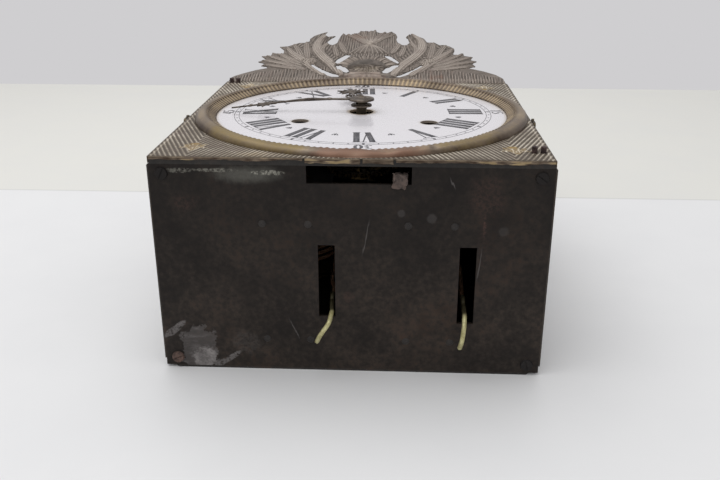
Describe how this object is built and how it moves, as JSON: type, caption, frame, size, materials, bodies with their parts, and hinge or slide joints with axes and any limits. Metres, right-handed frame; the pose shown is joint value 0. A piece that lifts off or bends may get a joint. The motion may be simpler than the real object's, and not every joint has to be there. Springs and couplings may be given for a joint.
{
  "type": "comtoise clock",
  "caption": "Weight-driven wall clock head: iron cage with going and strike trains, enamel dial, hands, bell, side doors, weight hooks and an embossed brass front with a pierced crest.",
  "frame": {"origin": "middle of the back sheet's outer face, on the table, at the height of the dial's centre", "axes": "+Z out of the dial, +Y towards twelve o'clock and the crest, +X towards three o'clock; it lies on its back"},
  "size_m": [0.2584, 0.3935, 0.1781],
  "materials": {
    "iron_plate": "old hammered sheet and bar iron, dark brown, rust blotches",
    "dark_iron": "blackened iron fittings",
    "door_sheet": "thin dark iron sheet",
    "embossed_brass": "thin embossed brass, aged olive brown with golden worn heights",
    "enamel": "white glass enamel with black numerals",
    "bronze_hand": "brown patinated hands",
    "bell_metal": "cast bell metal, dull",
    "brass": "cut brass, lightly tarnished",
    "brass_wire": "bent wire, pale greenish tarnish",
    "steel": "turned steel",
    "cord": "brown twisted gut or hemp cord"
  },
  "bodies": {
    "root": {"back_sheet": "iron_plate", "bottom_plate": "iron_plate", "top_plate": "iron_plate", "pillars": "iron_plate", "plate_screws": "dark_iron", "back_screws": "dark_iron", "train_bars": "iron_plate", "escapement_cocks": "dark_iron", "hammer_cocks": "dark_iron", "pivot_bushes": "brass", "suspension_cock": "dark_iron", "dial_board": "iron_plate", "dial_surround": "embossed_brass", "surround_pins": "dark_iron", "dial": "enamel", "crest": "embossed_brass", "bell": "bell_metal", "bell_post": "steel", "motion_bridge": "brass", "door_pintles": "dark_iron", "going_cord_drop": "cord", "strike_cord_drop": "cord"},
    "going_great": {"going_great_wheel": "brass", "going_click": "brass"},
    "going_barrel": {"going_barrel_arbor": "steel", "going_drum": "brass", "going_wound_cord": "cord"},
    "going_second": {"going_second_arbor": "steel", "going_second_wheel": "brass", "motion_drive_wheel": "brass"},
    "going_third": {"going_third_arbor": "steel", "going_third_wheel": "brass"},
    "escape": {"escape_arbor": "steel", "escape_wheel": "brass"},
    "anchor": {"anchor": "steel", "crutch": "steel"},
    "minute": {"cannon_pinion": "brass", "minute_hand": "bronze_hand"},
    "reverser": {"reverser_wheel": "brass"},
    "hour": {"hour_wheel": "brass", "hour_hand": "bronze_hand"},
    "strike_great": {"strike_great_wheel": "brass", "strike_click": "brass"},
    "strike_barrel": {"strike_barrel_arbor": "steel", "strike_drum": "brass", "strike_wound_cord": "cord"},
    "strike_second": {"strike_second_arbor": "steel", "strike_pin_wheel": "brass"},
    "strike_third": {"strike_third_arbor": "steel", "strike_third_wheel": "brass"},
    "fly": {"fly_arbor": "steel", "fly": "brass"},
    "hammer": {"hammer_arbor": "steel", "hammer": "steel"},
    "left_door": {"left_door": "door_sheet"},
    "right_door": {"right_door": "door_sheet"},
    "left_button": {"left_turn_button": "brass"},
    "right_button": {"right_turn_button": "brass"},
    "going_hook": {"going_hook": "brass_wire"},
    "strike_hook": {"strike_hook": "brass_wire"}
  },
  "joints": [
    {"name": "going_second_turn", "type": "hinge", "parent": "root", "child": "going_second", "pos_m": [0.051, 0.0122, 0.064], "axis": [0, 0, 1], "continuous": true},
    {"name": "going_great_turn", "type": "hinge", "parent": "root", "child": "going_great", "pos_m": [0.051, -0.032, 0.095], "axis": [0, 0, 1], "continuous": true},
    {"name": "going_winding", "type": "hinge", "parent": "going_great", "child": "going_barrel", "pos_m": [0.051, -0.032, 0.064], "axis": [0, 0, -1], "range_deg": [0, 2520]},
    {"name": "going_third_turn", "type": "hinge", "parent": "root", "child": "going_third", "pos_m": [0.03445, 0.04417, 0.064], "axis": [0, 0, 1], "continuous": true},
    {"name": "escape_turn", "type": "hinge", "parent": "root", "child": "escape", "pos_m": [0.0055, 0.062, 0.064], "axis": [0, 0, 1], "continuous": true},
    {"name": "anchor_swing", "type": "hinge", "parent": "root", "child": "anchor", "pos_m": [0.0055, 0.092, 0.064], "axis": [0, 0, 1], "range_deg": [-3, 3]},
    {"name": "minute_turn", "type": "hinge", "parent": "root", "child": "minute", "pos_m": [0.0015, 0, 0.12], "axis": [0, 0, 1], "continuous": true},
    {"name": "reverser_turn", "type": "hinge", "parent": "root", "child": "reverser", "pos_m": [0.0015, -0.03, 0.116], "axis": [0, 0, 1], "continuous": true},
    {"name": "hour_turn", "type": "hinge", "parent": "root", "child": "hour", "pos_m": [0.0015, 0, 0.12], "axis": [0, 0, 1], "continuous": true},
    {"name": "strike_second_turn", "type": "hinge", "parent": "root", "child": "strike_second", "pos_m": [-0.041, 0.0122, 0.064], "axis": [0, 0, 1], "continuous": true},
    {"name": "strike_great_turn", "type": "hinge", "parent": "root", "child": "strike_great", "pos_m": [-0.041, -0.032, 0.095], "axis": [0, 0, 1], "continuous": true},
    {"name": "strike_winding", "type": "hinge", "parent": "strike_great", "child": "strike_barrel", "pos_m": [-0.041, -0.032, 0.064], "axis": [0, 0, -1], "range_deg": [0, 2520]},
    {"name": "strike_third_turn", "type": "hinge", "parent": "root", "child": "strike_third", "pos_m": [-0.041, 0.041, 0.064], "axis": [0, 0, 1], "continuous": true},
    {"name": "fly_turn", "type": "hinge", "parent": "root", "child": "fly", "pos_m": [-0.041, 0.0665, 0.064], "axis": [0, 0, 1], "continuous": true},
    {"name": "hammer_swing", "type": "hinge", "parent": "root", "child": "hammer", "pos_m": [-0.076, 0.02, 0.07], "axis": [0, 0, 1], "range_deg": [-1.3, 12]},
    {"name": "left_door_swing", "type": "hinge", "parent": "root", "child": "left_door", "pos_m": [-0.1269, 0, 0.0045], "axis": [0, -1, 0], "range_deg": [0, 90]},
    {"name": "right_door_swing", "type": "hinge", "parent": "root", "child": "right_door", "pos_m": [0.1269, 0, 0.0045], "axis": [0, 1, 0], "range_deg": [0, 90]},
    {"name": "left_button_turn", "type": "hinge", "parent": "root", "child": "left_button", "pos_m": [-0.1264, -0.012, 0.145], "axis": [1, 0, 0], "range_deg": [0, 90]},
    {"name": "right_button_turn", "type": "hinge", "parent": "root", "child": "right_button", "pos_m": [0.1264, -0.012, 0.145], "axis": [1, 0, 0], "range_deg": [0, 90]},
    {"name": "going_hook_drop", "type": "slide", "parent": "root", "child": "going_hook", "axis": [0, -1, 0], "range_m": [0, 1.11], "deforming": ["going_cord_drop"]},
    {"name": "strike_hook_drop", "type": "slide", "parent": "root", "child": "strike_hook", "axis": [0, -1, 0], "range_m": [0, 1.11], "deforming": ["strike_cord_drop"]}
  ],
  "couplings": [
    {"joint": "going_second_turn", "follows": "going_third_turn", "ratio": -0.125},
    {"joint": "going_great_turn", "follows": "going_third_turn", "ratio": 0.010417},
    {"joint": "escape_turn", "follows": "going_third_turn", "ratio": -7.5},
    {"joint": "minute_turn", "follows": "going_third_turn", "ratio": 0.125},
    {"joint": "reverser_turn", "follows": "going_third_turn", "ratio": -0.041667},
    {"joint": "hour_turn", "follows": "going_third_turn", "ratio": 0.010417},
    {"joint": "strike_second_turn", "follows": "strike_third_turn", "ratio": -0.125},
    {"joint": "strike_great_turn", "follows": "strike_third_turn", "ratio": 0.010417},
    {"joint": "fly_turn", "follows": "strike_third_turn", "ratio": -7.5},
    {"joint": "going_hook_drop", "follows": "going_winding", "m_per_rad": 0.02505},
    {"joint": "strike_hook_drop", "follows": "strike_winding", "m_per_rad": 0.02505}
  ]
}
